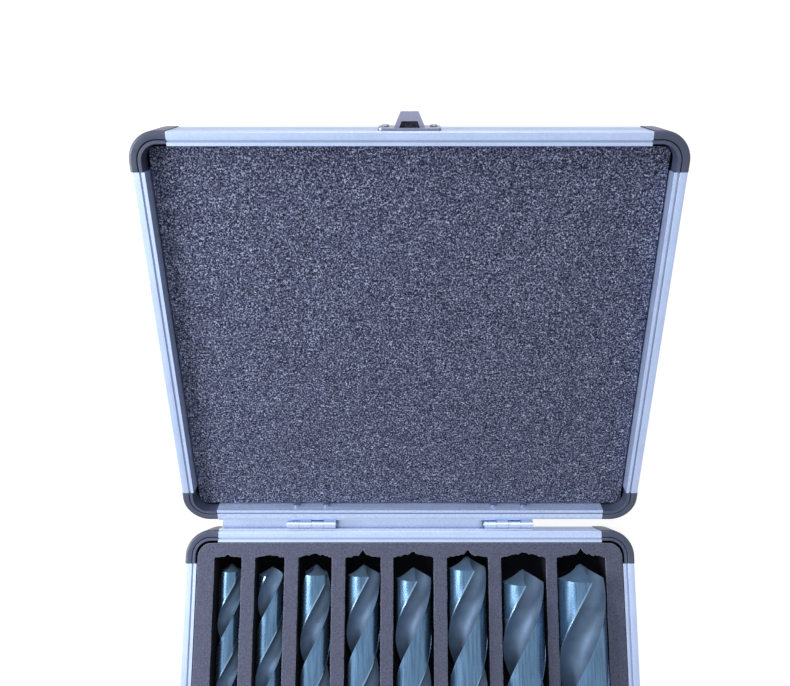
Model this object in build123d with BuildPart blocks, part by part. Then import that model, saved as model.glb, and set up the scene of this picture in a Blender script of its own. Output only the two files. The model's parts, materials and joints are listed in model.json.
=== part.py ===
from build123d import *
import math
import os

# Drill bit case: two shallow trays of aluminium edge rails, plastic corner caps and flat panels,
# hinged at the rear, with eight reduced-shank twist drills lying in a die-cut foam tray.
# The origin is the centre of the underside. X runs to the right, Y to the hinges, Z up.
# Lengths are in mm and angles in degrees.

# ---- case: its width and depth follow from the drills and the foam round them
TRAY_HEIGHT = 20.0
PARTING_GAP = 0.3
LID_OPENING = 148.0

# ---- edge rails: a hollow extrusion with a slot for the panel and a groove beside the rim's bead
RAIL_WIDTH = 6.0
OUTER_WALL = 1.2
INNER_WALL = 1.1
RIM_THICKNESS = 1.6
RAIL_FLANGE = 1.5
KEY_CHAMBER = 4.8
RAIL_WEB = 1.0
RIM_GROOVE_WIDTH = 0.9
RIM_GROOVE_DEPTH = 0.6
RIM_BEAD = 1.5
RIM_ROUNDING = 0.7
SIDE_GROOVE_WIDTH = 1.0
SIDE_GROOVE_DEPTH = 0.4
SIDE_GROOVE_HEIGHTS = (6.0, 11.0)

# ---- corner caps
CORNER_RADIUS = 13.0
CAP_LEG = 17.0
CAP_PROUD = 0.4
CAP_RIM = 5.2
CAP_ROUNDING = 1.3
CAP_SEAM_INSET = 3.7
CAP_SEAM_WIDTH = 0.5
CAP_SEAM_DEPTH = 0.5
KEY_LENGTH = 8.0
KEY_CLEARANCE = 0.15

# ---- panels
PANEL_THICKNESS = 3.0
PANEL_CLEARANCE = 0.1

# ---- foam
FOAM_CLEARANCE = 0.4
FOAM_BELOW_RIM = 0.2
FOAM_CORNER = 7.0
LID_FOAM_CORNER = 3.5
LINER_THICKNESS = 1.3
LID_FOAM_RECESS = 5.5
LID_FOAM_CLEARANCE = 0.8
POCKET_EASES = (1.9, 1.6, 2.1, 1.6, 2.6, 1.6, 1.9, 0.8)
POCKET_WALLS = (7.1, 7.25, 7.15, 6.6, 7.0, 6.7, 5.7)
POCKET_SIDE_BORDER = 8.975
POCKET_REAR_BORDER = 7.6
POCKET_FRONT_BORDER = 10.1
POCKET_PEAK = 2.4
POCKET_CORNER = 1.2
FINGER_GAP = 10.5

# ---- drill bits
BIT_DIAMETERS = (12.7, 14.3, 15.9, 17.5, 19.05, 20.6, 22.2, 25.4)
BIT_TURNS = (120, 43, 121, 88, 73, 79, 61, 86)
BIT_TIP_GAPS = (4.3, 5.7, 4.5, 4.4, 5.8, -0.2, 6.6, 3.4)
BIT_LENGTH = 152.4
FLUTE_LENGTH = 76.0
SHANK_DIAMETER = 12.7
SHANK_CHAMFER = 1.0
HELIX_ANGLE = 29.0
POINT_ANGLE = 118.0
WEB_SHARE = 0.17
FLUTE_SHARE = 0.74
LAND_SIDES = 3
FLUTE_SIDES = 4
FLUTE_STEP = 4.5
FLUTE_RUN_OUT = 16.0
RUN_OUT_SHARE = 0.8
COLLAR_LENGTH = 6.0
BIT_SEAT_GAP = 0.3

# ---- hinges
HINGE_SPACING = 106.0
HINGE_WIDTH = 26.0
KNUCKLES = 4
KNUCKLE_GAP = 0.15
BARREL_RADIUS = 2.0
BARREL_CLEARANCE = 0.25
HINGE_PIN_RADIUS = 1.0
PIN_CLEARANCE = 0.05
PIN_OVERHANG = 0.4
PIN_CHAMFER = 0.25
LEAF_THICKNESS = 1.0
LEAF_HEIGHT = 7.2
STRIP_THICKNESS = 1.0
STRIP_TOP = 1.0
STOP_BELOW_AXIS = 8.0
STOP_GAP = 0.15
HINGE_RIVET_SPACING = 16.0
HINGE_RIVET_DROP = 4.6

# ---- rivets
RIVET_RADIUS = 1.2
RIVET_HEAD_RADIUS = 1.7
RIVET_HEAD_HEIGHT = 0.8
RIVET_HEAD_CHAMFER = 0.4
RIVET_TAIL_RADIUS = 1.6
RIVET_TAIL_LENGTH = 1.0
RIVET_CLEARANCE = 0.05
TAIL_CLEARANCE = 0.3

# ---- latch
LATCH_WIDTH = 27.0
LATCH_SHEET = 1.0
LATCH_CORNER = 2.0
LATCH_RIVET_SPACING = 21.0
LATCH_RIVET_HEIGHT = 9.0
LATCH_PLATE_BOTTOM = 2.0
LATCH_PLATE_TOP = 17.0
LEVER_PIVOT_OUT = 4.0
LEVER_PIVOT_HEIGHT = 12.5
LEVER_PIN_RADIUS = 0.9
EYE_RADIUS = 1.6
EAR_INSIDE = 3.4
LATCH_SIDE_GAP = 0.2
COVER_OUT = 5.9
COVER_HALF_WIDTH = 8.2
COVER_BOTTOM = 1.6
COVER_STEP = 8.2
COVER_TOP = 13.4
LEVER_WALL_IN = 1.6
LEVER_LIP = 1.4
CLAW_DROP = 3.5
CLAW_INSET = 0.8
CLAW_ARM_INSIDE = 6.0
CLAW_ARM_WIDTH = 1.5
CLAW_HEAD_THICKNESS = 0.5
CLAW_SWING = 68.0
CLAW_WINDOW = 7.0
CLAW_SHOULDER = 11.0
CLAW_NECK = 17.0
CLAW_NOSE_WIDTH = 6.0
CLAW_NOSE_REACH = 1.2
CLAW_GAP = 0.3
CLAW_BRIDGE_GAP = 0.6
CLAW_SEAT_GAP = 0.5
CLAW_KNEE = 13.5
CATCH_BOTTOM = 22.8
CATCH_TOP = 36.0
BRIDGE_BOTTOM = 25.5
BRIDGE_HEIGHT = 4.0
BRIDGE_OUT = 7.5
BRIDGE_VOID = 3.6
BRIDGE_FOOT = 13.4
BRIDGE_HEAD = 7.6
BRIDGE_VOID_FOOT = 8.8
BRIDGE_VOID_HEAD = 6.8
BRIDGE_WEB = 0.8

# ---- derived sizes and places
POCKET_WIDTHS = [diameter + ease for diameter, ease in zip(BIT_DIAMETERS, POCKET_EASES)]
POCKET_LENGTH = BIT_LENGTH + max(BIT_TIP_GAPS) + FINGER_GAP
POCKET_SPAN = sum(POCKET_WIDTHS) + sum(POCKET_WALLS)
INSIDE_WIDTH = POCKET_SPAN + 2 * (POCKET_SIDE_BORDER + FOAM_CLEARANCE)
INSIDE_DEPTH = POCKET_LENGTH + POCKET_FRONT_BORDER + POCKET_REAR_BORDER + 2 * FOAM_CLEARANCE
CASE_WIDTH = INSIDE_WIDTH + 2 * RAIL_WIDTH
CASE_DEPTH = INSIDE_DEPTH + 2 * RAIL_WIDTH
RIM_HEIGHT = TRAY_HEIGHT
PARTING_HEIGHT = TRAY_HEIGHT + PARTING_GAP / 2
SLOT_TOP = PANEL_THICKNESS + PANEL_CLEARANCE / 2
CHAMBER_TOP = TRAY_HEIGHT - RIM_THICKNESS
CHAMBER_BOTTOM = CHAMBER_TOP - KEY_CHAMBER
CHAMBER_WIDTH = RAIL_WIDTH - OUTER_WALL - INNER_WALL
REAR_WALL = CASE_DEPTH / 2
INSIDE_CORNER = CORNER_RADIUS - RAIL_WIDTH
LINER_TOP = PANEL_THICKNESS + LINER_THICKNESS
TRAY_TOP = RIM_HEIGHT - FOAM_BELOW_RIM
HINGE_OUT = STRIP_THICKNESS + BARREL_RADIUS + BARREL_CLEARANCE
HINGE_Y = REAR_WALL + HINGE_OUT
HINGE_LINE = Axis((0, HINGE_Y, PARTING_HEIGHT), (1, 0, 0))
STOP_REACH = HINGE_OUT + STOP_BELOW_AXIS / math.tan(math.radians(LID_OPENING / 2)) - STOP_GAP
HINGE_RIVET_Z = PARTING_HEIGHT - HINGE_RIVET_DROP
HINGE_RIVET_X = [
    side * HINGE_SPACING / 2 + end * HINGE_RIVET_SPACING / 2 for side in (-1, 1) for end in (-1, 1)
]
PARTING_PLANE = Plane.XY.offset(PARTING_HEIGHT)
CLAW_TOP = BRIDGE_BOTTOM + BRIDGE_HEIGHT + CLAW_GAP
LATCH_EAR_OUTSIDE = EAR_INSIDE + LATCH_SHEET
LEVER_WALL_INSIDE = LATCH_EAR_OUTSIDE + LATCH_SIDE_GAP
LEVER_WALL_OUTSIDE = LEVER_WALL_INSIDE + LATCH_SHEET

os.makedirs("parts", exist_ok=True)


def save(piece, name):
    """Label a finished piece and write it as a STEP file."""
    piece.label = name
    export_step(piece, f"parts/{name}.step")


def over_base(piece):
    """A lid piece drawn as its twin on the base, turned over onto the base."""
    return piece.mirror(PARTING_PLANE)


def swung_open(piece):
    """A lid piece drawn with the case shut, swung back to its stop."""
    return piece.rotate(HINGE_LINE, -LID_OPENING)


def wall_plane(y):
    """An upright plane across the case whose sketch axes are X and Z; it faces the front."""
    return Plane(origin=(0, y, 0), x_dir=(1, 0, 0), z_dir=(0, -1, 0))


def side_plane(x):
    """An upright plane along the case whose sketch axes are Y and Z; it faces right."""
    return Plane(origin=(x, 0, 0), x_dir=(0, 1, 0), z_dir=(1, 0, 0))


def out_front(distance):
    """The Y place at a distance out from the front wall."""
    return -CASE_DEPTH / 2 - distance


# ---------------------------------------------------------------- trays


def rail(side, half_span, length, bores=(), bore_height=0.0):
    """One edge rail of the base; side is its outward direction."""
    outward = Vector(*side, 0)
    along = outward.cross(Vector(0, 0, -1))
    start = outward * half_span - along * (length / 2)
    with BuildPart() as piece:
        with BuildSketch(Plane(origin=start, x_dir=-outward, z_dir=along)) as profile:
            Rectangle(RAIL_WIDTH, TRAY_HEIGHT, align=Align.MIN)
            fillet(profile.vertices().sort_by(Axis.Y)[-2:].sort_by(Axis.X)[0], RIM_ROUNDING)
            with Locations((OUTER_WALL, RAIL_FLANGE)):
                Rectangle(RAIL_WIDTH, SLOT_TOP - RAIL_FLANGE, align=Align.MIN, mode=Mode.SUBTRACT)
            with Locations((OUTER_WALL, SLOT_TOP + RAIL_WEB)):
                floor_gap = CHAMBER_BOTTOM - SLOT_TOP - 2 * RAIL_WEB
                Rectangle(CHAMBER_WIDTH, floor_gap, align=Align.MIN, mode=Mode.SUBTRACT)
            with Locations((OUTER_WALL, CHAMBER_BOTTOM)):
                Rectangle(CHAMBER_WIDTH, KEY_CHAMBER, align=Align.MIN, mode=Mode.SUBTRACT)
            groove_inset = RAIL_WIDTH - RIM_BEAD - RIM_GROOVE_WIDTH
            with Locations((groove_inset, TRAY_HEIGHT - RIM_GROOVE_DEPTH)):
                Rectangle(RIM_GROOVE_WIDTH, RIM_GROOVE_DEPTH, align=Align.MIN, mode=Mode.SUBTRACT)
            with Locations(*[(0, height) for height in SIDE_GROOVE_HEIGHTS]):
                Rectangle(SIDE_GROOVE_DEPTH, SIDE_GROOVE_WIDTH, align=Align.MIN, mode=Mode.SUBTRACT)
        extrude(amount=length)
        if bores:
            with BuildSketch(wall_plane(start.Y)):
                with Locations(*[(x, bore_height) for x in bores]):
                    Circle(RIVET_RADIUS + RIVET_CLEARANCE)
            extrude(amount=RAIL_WIDTH * outward.Y, mode=Mode.SUBTRACT)
    return piece.part


def corner_band(corner, outset, inset):
    """The plan of a band that follows the case's outline round one corner."""
    with BuildSketch() as band:
        RectangleRounded(CASE_WIDTH + 2 * outset, CASE_DEPTH + 2 * outset, CORNER_RADIUS + outset)
        inner = (CASE_WIDTH - 2 * inset, CASE_DEPTH - 2 * inset, CORNER_RADIUS - inset)
        RectangleRounded(*inner, mode=Mode.SUBTRACT)
        with Locations((corner[0] * CASE_WIDTH / 2, corner[1] * CASE_DEPTH / 2)):
            Rectangle(2 * CAP_LEG, 2 * CAP_LEG, mode=Mode.INTERSECT)
    return band.sketch


def corner_cap(corner):
    """A moulded corner of the base, with keys that plug into the two rails beside it."""
    levels = (
        (0, TRAY_HEIGHT, OUTER_WALL),
        (0, RAIL_FLANGE, RAIL_WIDTH),
        (SLOT_TOP, SLOT_TOP + RAIL_WEB, CAP_RIM),
        (CHAMBER_BOTTOM - RAIL_WEB, TRAY_HEIGHT, CAP_RIM),
    )
    with BuildPart() as piece:
        for bottom, top, inset in levels:
            with BuildSketch(Plane.XY.offset(bottom)):
                add(corner_band(corner, CAP_PROUD, inset))
            extrude(amount=top - bottom)
        for height in (0, TRAY_HEIGHT):
            rim = piece.edges().filter_by(GeomType.CIRCLE).filter_by_position(Axis.Z, height, height)
            fillet(rim.sort_by(SortBy.RADIUS)[-1], CAP_ROUNDING)
        with BuildSketch(Plane.XY.offset(TRAY_HEIGHT - CAP_SEAM_DEPTH)):
            add(corner_band(corner, CAP_SEAM_WIDTH - CAP_SEAM_INSET, CAP_SEAM_INSET))
        extrude(amount=CAP_SEAM_DEPTH, mode=Mode.SUBTRACT)
        key_size = (CHAMBER_WIDTH - 2 * KEY_CLEARANCE, KEY_CHAMBER - 2 * KEY_CLEARANCE)
        key_inset = OUTER_WALL + CHAMBER_WIDTH / 2
        key_height = CHAMBER_BOTTOM + KEY_CHAMBER / 2
        key_middle = CAP_LEG + KEY_LENGTH / 2
        for size, inset in (
            ((KEY_LENGTH, key_size[0]), (key_middle, key_inset)),
            ((key_size[0], KEY_LENGTH), (key_inset, key_middle)),
        ):
            middle = (
                corner[0] * (CASE_WIDTH / 2 - inset[0]),
                corner[1] * (CASE_DEPTH / 2 - inset[1]),
                key_height,
            )
            with Locations(middle):
                Box(*size, key_size[1])
    return piece.part


CORNERS = {
    "front_left": (-1, -1),
    "front_right": (1, -1),
    "rear_left": (-1, 1),
    "rear_right": (1, 1),
}
LONG_RAIL = CASE_WIDTH - 2 * CAP_LEG
SHORT_RAIL = CASE_DEPTH - 2 * CAP_LEG
LATCH_RIVET_X = [-LATCH_RIVET_SPACING / 2, LATCH_RIVET_SPACING / 2]

rails = {
    "front": rail((0, -1), CASE_DEPTH / 2, LONG_RAIL, LATCH_RIVET_X, LATCH_RIVET_HEIGHT),
    "rear": rail((0, 1), CASE_DEPTH / 2, LONG_RAIL, HINGE_RIVET_X, HINGE_RIVET_Z),
    "left": rail((-1, 0), CASE_WIDTH / 2, SHORT_RAIL),
    "right": rail((1, 0), CASE_WIDTH / 2, SHORT_RAIL),
}
for place, piece in rails.items():
    save(swung_open(over_base(piece)), f"lid_rail_{place}")
    save(piece, f"base_rail_{place}")

for place, corner in CORNERS.items():
    cap = corner_cap(corner)
    save(swung_open(over_base(cap)), f"lid_corner_{place}")
    save(cap, f"base_corner_{place}")

# the panel is rebated, so that its skin is level with the rails' flanges
with BuildPart() as base_panel:
    with BuildSketch():
        skin = (INSIDE_WIDTH - 2 * PANEL_CLEARANCE, INSIDE_DEPTH - 2 * PANEL_CLEARANCE)
        RectangleRounded(*skin, INSIDE_CORNER)
    extrude(amount=PANEL_THICKNESS)
    with BuildSketch(Plane.XY.offset(RAIL_FLANGE + PANEL_CLEARANCE / 2)):
        inset = OUTER_WALL + 2 * PANEL_CLEARANCE
        RectangleRounded(CASE_WIDTH - 2 * inset, CASE_DEPTH - 2 * inset, CORNER_RADIUS - inset)
    extrude(amount=PANEL_THICKNESS - RAIL_FLANGE - PANEL_CLEARANCE / 2)
save(swung_open(over_base(base_panel.part)), "lid_panel")
save(base_panel.part, "base_panel")


# ---------------------------------------------------------------- foam


def tail_notches():
    """Room in a foam's rear edge for the tails of the hinge rivets."""
    with BuildPart() as notches:
        with BuildSketch(wall_plane(REAR_WALL - RAIL_WIDTH)):
            with Locations(*[(x, HINGE_RIVET_Z) for x in HINGE_RIVET_X]):
                Circle(RIVET_TAIL_RADIUS + TAIL_CLEARANCE)
        extrude(amount=RIVET_TAIL_LENGTH + TAIL_CLEARANCE)
    return notches.part


with BuildPart() as base_foam_liner:
    with BuildSketch(Plane.XY.offset(PANEL_THICKNESS)):
        foam_size = (INSIDE_WIDTH - 2 * FOAM_CLEARANCE, INSIDE_DEPTH - 2 * FOAM_CLEARANCE)
        RectangleRounded(*foam_size, FOAM_CORNER)
    extrude(amount=LINER_THICKNESS)
save(base_foam_liner.part, "base_foam_liner")

POCKET_REAR = INSIDE_DEPTH / 2 - FOAM_CLEARANCE - POCKET_REAR_BORDER
POCKET_X = [
    -POCKET_SPAN / 2 + sum(POCKET_WIDTHS[:index]) + sum(POCKET_WALLS[:index]) + width / 2
    for index, width in enumerate(POCKET_WIDTHS)
]


def pocket_outline(width):
    """A pocket in plan, with its rear end peaked like the drill's point; the origin is on that end."""
    with BuildSketch() as outline:
        Polygon(
            (-width / 2, -POCKET_LENGTH),
            (width / 2, -POCKET_LENGTH),
            (width / 2, 0),
            (0, POCKET_PEAK),
            (-width / 2, 0),
            align=None,
        )
        fillet(outline.vertices(), POCKET_CORNER)
    return outline.sketch


with BuildPart() as base_foam_tray:
    with BuildSketch(Plane.XY.offset(LINER_TOP)):
        RectangleRounded(*foam_size, FOAM_CORNER)
        for x, width in zip(POCKET_X, POCKET_WIDTHS):
            with Locations((x, POCKET_REAR)):
                add(pocket_outline(width), mode=Mode.SUBTRACT)
    extrude(amount=TRAY_TOP - LINER_TOP)
    add(tail_notches(), mode=Mode.SUBTRACT)
save(base_foam_tray.part, "base_foam_tray")

with BuildPart() as lid_foam:
    with BuildSketch(Plane.XY.offset(PANEL_THICKNESS)):
        lid_foam_size = (INSIDE_WIDTH - 2 * LID_FOAM_CLEARANCE, INSIDE_DEPTH - 2 * LID_FOAM_CLEARANCE)
        RectangleRounded(*lid_foam_size, LID_FOAM_CORNER)
    extrude(amount=TRAY_HEIGHT - LID_FOAM_RECESS - PANEL_THICKNESS)
    add(tail_notches(), mode=Mode.SUBTRACT)
save(swung_open(over_base(lid_foam.part)), "lid_foam")


# ---------------------------------------------------------------- drill bits


def flute_section(radius, web_share):
    """Corners of a drill's section: two lands on the circle and two hollow flutes between them."""
    flute_radius = FLUTE_SHARE * radius
    offset = web_share * radius + flute_radius
    opening = math.acos((radius**2 + offset**2 - flute_radius**2) / (2 * radius * offset))
    hollow = math.acos((offset**2 + flute_radius**2 - radius**2) / (2 * offset * flute_radius))
    half_land = math.pi / 2 - opening
    points = []
    for side in (0, math.pi):
        for step in range(LAND_SIDES + 1):
            turn = side - half_land + 2 * half_land * step / LAND_SIDES
            points.append(Vector(math.cos(turn), math.sin(turn)) * radius)
        middle = Vector(-math.sin(side), math.cos(side)) * offset
        for step in range(1, FLUTE_SIDES):
            turn = side - math.pi / 2 + hollow * (1 - 2 * step / FLUTE_SIDES)
            points.append(middle + Vector(math.cos(turn), math.sin(turn)) * flute_radius)
    return points


def fluted_body(tail, diameter, turn):
    """The fluted length: the section turns with the helix, and the flutes run out at the shank."""
    lead = math.pi * diameter / math.tan(math.radians(HELIX_ANGLE))
    steps = math.ceil(FLUTE_LENGTH / FLUTE_STEP)
    rings = []
    for step in range(steps + 1):
        height = FLUTE_LENGTH * step / steps
        run_out = max(0.0, 1 - height / FLUTE_RUN_OUT)
        web_share = WEB_SHARE + (RUN_OUT_SHARE - WEB_SHARE) * run_out**2
        angle = turn + 360 * (height - FLUTE_LENGTH) / lead
        rise = Vector(0, 0, BIT_LENGTH - FLUTE_LENGTH + height)
        section = flute_section(diameter / 2, web_share)
        rings.append([tail.from_local_coords(p.rotate(Axis.Z, angle) + rise) for p in section])
    facets = [Face(Wire.make_polygon(ring)) for ring in (rings[0], rings[-1])]
    for lower, upper in zip(rings, rings[1:]):
        for index, corner in enumerate(lower):
            before = index - 1
            facets.append(Face(Wire.make_polygon([lower[before], corner, upper[index]])))
            facets.append(Face(Wire.make_polygon([lower[before], upper[index], upper[before]])))
    return Solid(Shell(facets))


def drill_bit(x, diameter, turn, tip_gap):
    """A twist drill with a reduced shank, lying in its pocket with the point to the rear."""
    radius = diameter / 2
    shank_radius = SHANK_DIAMETER / 2
    shank_length = BIT_LENGTH - FLUTE_LENGTH
    tail_y = POCKET_REAR - tip_gap - BIT_LENGTH
    axis_height = LINER_TOP + BIT_SEAT_GAP + radius
    tail = Plane(origin=(x, tail_y, axis_height), x_dir=(-1, 0, 0), z_dir=(0, 1, 0))
    envelope = radius + 1
    point_height = envelope / math.tan(math.radians(POINT_ANGLE / 2))
    with BuildPart() as bit:
        add(fluted_body(tail, diameter, turn))
        with BuildSketch(tail):
            Circle(shank_radius)
        extrude(amount=shank_length)
        with BuildSketch(tail.offset(shank_length - COLLAR_LENGTH)):
            Circle(radius)
        extrude(amount=COLLAR_LENGTH)
        with BuildSketch(Plane(origin=tail.origin, x_dir=(1, 0, 0), z_dir=(0, 0, 1))):
            with BuildLine():
                Polyline(
                    (0, 0),
                    (shank_radius - SHANK_CHAMFER, 0),
                    (envelope, envelope - shank_radius + SHANK_CHAMFER),
                    (envelope, BIT_LENGTH - point_height),
                    (0, BIT_LENGTH),
                    close=True,
                )
            make_face()
        revolve(axis=Axis(tail.origin, (0, 1, 0)), mode=Mode.INTERSECT)
    return bit.part


for number, values in enumerate(zip(POCKET_X, BIT_DIAMETERS, BIT_TURNS, BIT_TIP_GAPS), start=1):
    save(drill_bit(*values), f"drill_bit_{number}")


# ---------------------------------------------------------------- hinges and stop strips


def rivets(places, height, seat_y, outward, grip):
    """A row of rivets through a wall, headed at seat_y; outward is 1 at the rear and -1 in front."""
    centres = [(x, height) for x in places]
    with BuildPart() as group:
        with BuildSketch(wall_plane(seat_y)):
            with Locations(*centres):
                Circle(RIVET_HEAD_RADIUS)
        extrude(amount=-outward * RIVET_HEAD_HEIGHT)
        chamfer(group.edges().group_by(Axis.Y)[-1 if outward > 0 else 0], RIVET_HEAD_CHAMFER)
        with BuildSketch(wall_plane(seat_y)):
            with Locations(*centres):
                Circle(RIVET_RADIUS)
        extrude(amount=outward * grip)
        with BuildSketch(wall_plane(seat_y - outward * grip)):
            with Locations(*centres):
                Circle(RIVET_TAIL_RADIUS)
        extrude(amount=outward * RIVET_TAIL_LENGTH)
    return group.part


def hinge_leaf(middle, own_knuckles):
    """The base's half of a butt hinge: a leaf on the strip and every other knuckle of the barrel."""
    start = middle - HINGE_WIDTH / 2
    seat = REAR_WALL + STRIP_THICKNESS
    knuckle = HINGE_WIDTH / KNUCKLES
    clear = BARREL_RADIUS + BARREL_CLEARANCE
    with BuildPart() as leaf:
        with BuildSketch(side_plane(start)):
            with Locations((seat, PARTING_HEIGHT - LEAF_HEIGHT)):
                Rectangle(LEAF_THICKNESS, LEAF_HEIGHT, align=Align.MIN)
            with Locations((HINGE_Y, PARTING_HEIGHT)):
                Circle(BARREL_RADIUS)
        extrude(amount=HINGE_WIDTH)
        with BuildSketch(side_plane(start)):
            with Locations((HINGE_Y, PARTING_HEIGHT)):
                Circle(HINGE_PIN_RADIUS + PIN_CLEARANCE)
        extrude(amount=HINGE_WIDTH, mode=Mode.SUBTRACT)
        for index in set(range(KNUCKLES)) - set(own_knuckles):
            with BuildSketch(side_plane(start + index * knuckle - KNUCKLE_GAP / 2)):
                with Locations((seat, PARTING_HEIGHT - clear)):
                    Rectangle(2 * clear, 2 * clear, align=Align.MIN)
            extrude(amount=knuckle + KNUCKLE_GAP, mode=Mode.SUBTRACT)
        with BuildSketch(wall_plane(seat)):
            with Locations(*[(middle + end * HINGE_RIVET_SPACING / 2, HINGE_RIVET_Z) for end in (-1, 1)]):
                Circle(RIVET_RADIUS + RIVET_CLEARANCE)
        extrude(amount=-LEAF_THICKNESS, mode=Mode.SUBTRACT)
    return leaf.part


for side, name in ((-1, "left"), (1, "right")):
    middle = side * HINGE_SPACING / 2
    save(hinge_leaf(middle, (0, 2)), f"hinge_leaf_base_{name}")
    save(swung_open(over_base(hinge_leaf(middle, (1, 3)))), f"hinge_leaf_lid_{name}")
    with BuildPart() as hinge_pin:
        with BuildSketch(side_plane(middle - HINGE_WIDTH / 2 - PIN_OVERHANG)):
            with Locations((HINGE_Y, PARTING_HEIGHT)):
                Circle(HINGE_PIN_RADIUS)
        extrude(amount=HINGE_WIDTH + 2 * PIN_OVERHANG)
        chamfer(hinge_pin.edges().filter_by(GeomType.CIRCLE), PIN_CHAMFER)
    save(hinge_pin.part, f"hinge_pin_{name}")

# an angle strip along the rear wall; the lid's strip comes down on it and stops the lid. Both run
# from the left cap to the right hinge
with BuildPart() as base_stop_strip:
    with BuildSketch(side_plane(-LONG_RAIL / 2)):
        flange_top = PARTING_HEIGHT - STOP_BELOW_AXIS
        with Locations((REAR_WALL, flange_top - STRIP_THICKNESS)):
            Rectangle(STOP_REACH, STRIP_THICKNESS, align=Align.MIN)
            Rectangle(STRIP_THICKNESS, STRIP_THICKNESS + STOP_BELOW_AXIS - STRIP_TOP, align=Align.MIN)
    extrude(amount=(LONG_RAIL + HINGE_SPACING + HINGE_WIDTH) / 2)
    with BuildSketch(wall_plane(REAR_WALL)):
        with Locations(*[(x, HINGE_RIVET_Z) for x in HINGE_RIVET_X]):
            Circle(RIVET_RADIUS + RIVET_CLEARANCE)
    extrude(amount=-STRIP_THICKNESS, mode=Mode.SUBTRACT)
save(swung_open(over_base(base_stop_strip.part)), "lid_stop_strip")
save(base_stop_strip.part, "base_stop_strip")

hinge_stack = STRIP_THICKNESS + LEAF_THICKNESS
hinge_rivets = rivets(HINGE_RIVET_X, HINGE_RIVET_Z, REAR_WALL + hinge_stack, 1, RAIL_WIDTH + hinge_stack)
save(swung_open(over_base(hinge_rivets)), "hinge_rivets_lid")
save(hinge_rivets, "hinge_rivets_base")


# ---------------------------------------------------------------- latch


def latch_rivets():
    """The two rivets of a latch plate, held in the front rail's hollow."""
    return rivets(LATCH_RIVET_X, LATCH_RIVET_HEIGHT, out_front(LATCH_SHEET), -1, LATCH_SHEET + OUTER_WALL)


def latch_rivet_bores():
    """The bores in a latch plate for its rivets, as a sketch in the wall's plane."""
    with BuildSketch() as bores:
        with Locations(*[(x, LATCH_RIVET_HEIGHT) for x in LATCH_RIVET_X]):
            Circle(RIVET_RADIUS + RIVET_CLEARANCE)
    return bores.sketch


def both_sides(inside, thickness):
    """The two starting planes of a pair of cheeks that stand either side of the middle."""
    return side_plane(inside), side_plane(-inside - thickness)


save(swung_open(over_base(latch_rivets())), "latch_rivets_lid")
save(latch_rivets(), "latch_rivets_base")

PIVOT_Y = out_front(LEVER_PIVOT_OUT)
CLAW_Y = out_front(LEVER_PIVOT_OUT - CLAW_INSET)
CLAW_HEIGHT = LEVER_PIVOT_HEIGHT - CLAW_DROP

with BuildPart() as latch_base_plate:
    with BuildSketch(wall_plane(out_front(0))):
        with Locations((0, (LATCH_PLATE_BOTTOM + LATCH_PLATE_TOP) / 2)):
            RectangleRounded(LATCH_WIDTH, LATCH_PLATE_TOP - LATCH_PLATE_BOTTOM, LATCH_CORNER)
        add(latch_rivet_bores(), mode=Mode.SUBTRACT)
    extrude(amount=LATCH_SHEET)
    with BuildSketch(*both_sides(EAR_INSIDE, LATCH_SHEET)):
        with Locations((PIVOT_Y, LEVER_PIVOT_HEIGHT - EYE_RADIUS)):
            Rectangle(LEVER_PIVOT_OUT, 2 * EYE_RADIUS, align=Align.MIN)
        with Locations((PIVOT_Y, LEVER_PIVOT_HEIGHT)):
            Circle(EYE_RADIUS)
            Circle(LEVER_PIN_RADIUS + PIN_CLEARANCE, mode=Mode.SUBTRACT)
    extrude(amount=LATCH_SHEET)
save(latch_base_plate.part, "latch_base_plate")

with BuildPart() as latch_lever_pin:
    pin_length = 2 * (LEVER_WALL_OUTSIDE + PIN_OVERHANG)
    with BuildSketch(side_plane(-pin_length / 2)):
        with Locations((PIVOT_Y, LEVER_PIVOT_HEIGHT)):
            Circle(LEVER_PIN_RADIUS)
    extrude(amount=pin_length)
    chamfer(latch_lever_pin.edges().filter_by(GeomType.CIRCLE), PIN_CHAMFER)
save(latch_lever_pin.part, "latch_lever_pin")

# the lever is a channel: a cover with a finger lip, notched for the claw's arms, and two cheeks
with BuildPart() as latch_lever:
    with BuildSketch(wall_plane(out_front(COVER_OUT))):
        with Locations((0, (COVER_BOTTOM + COVER_STEP) / 2)):
            RectangleRounded(2 * COVER_HALF_WIDTH, COVER_STEP - COVER_BOTTOM, LATCH_SHEET)
        with Locations((0, (COVER_BOTTOM + COVER_TOP) / 2)):
            RectangleRounded(2 * LEVER_WALL_OUTSIDE, COVER_TOP - COVER_BOTTOM, LATCH_SHEET)
    extrude(amount=LATCH_SHEET)
    with BuildSketch(*both_sides(LEVER_WALL_INSIDE, LATCH_SHEET)):
        with BuildLine():
            Polyline(
                (out_front(COVER_OUT), COVER_BOTTOM + LATCH_SHEET),
                (out_front(LEVER_WALL_IN), COVER_BOTTOM + 2 * LATCH_SHEET),
                (out_front(LEVER_WALL_IN), COVER_TOP),
                (out_front(COVER_OUT), COVER_TOP),
                close=True,
            )
        make_face()
        with Locations((PIVOT_Y, LEVER_PIVOT_HEIGHT)):
            Circle(LEVER_PIN_RADIUS + PIN_CLEARANCE, mode=Mode.SUBTRACT)
        with Locations((CLAW_Y, CLAW_HEIGHT)):
            Circle(LEVER_PIN_RADIUS + PIN_CLEARANCE, mode=Mode.SUBTRACT)
    extrude(amount=LATCH_SHEET)
    with BuildSketch(wall_plane(out_front(COVER_OUT + LATCH_SHEET))):
        with Locations((0, COVER_BOTTOM + LATCH_SHEET / 2)):
            Rectangle(2 * LEVER_WALL_OUTSIDE, LATCH_SHEET)
    extrude(amount=LEVER_LIP)
save(latch_lever.part, "latch_lever")

CLAW_ARM_OUTSIDE = CLAW_ARM_INSIDE + CLAW_ARM_WIDTH

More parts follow.
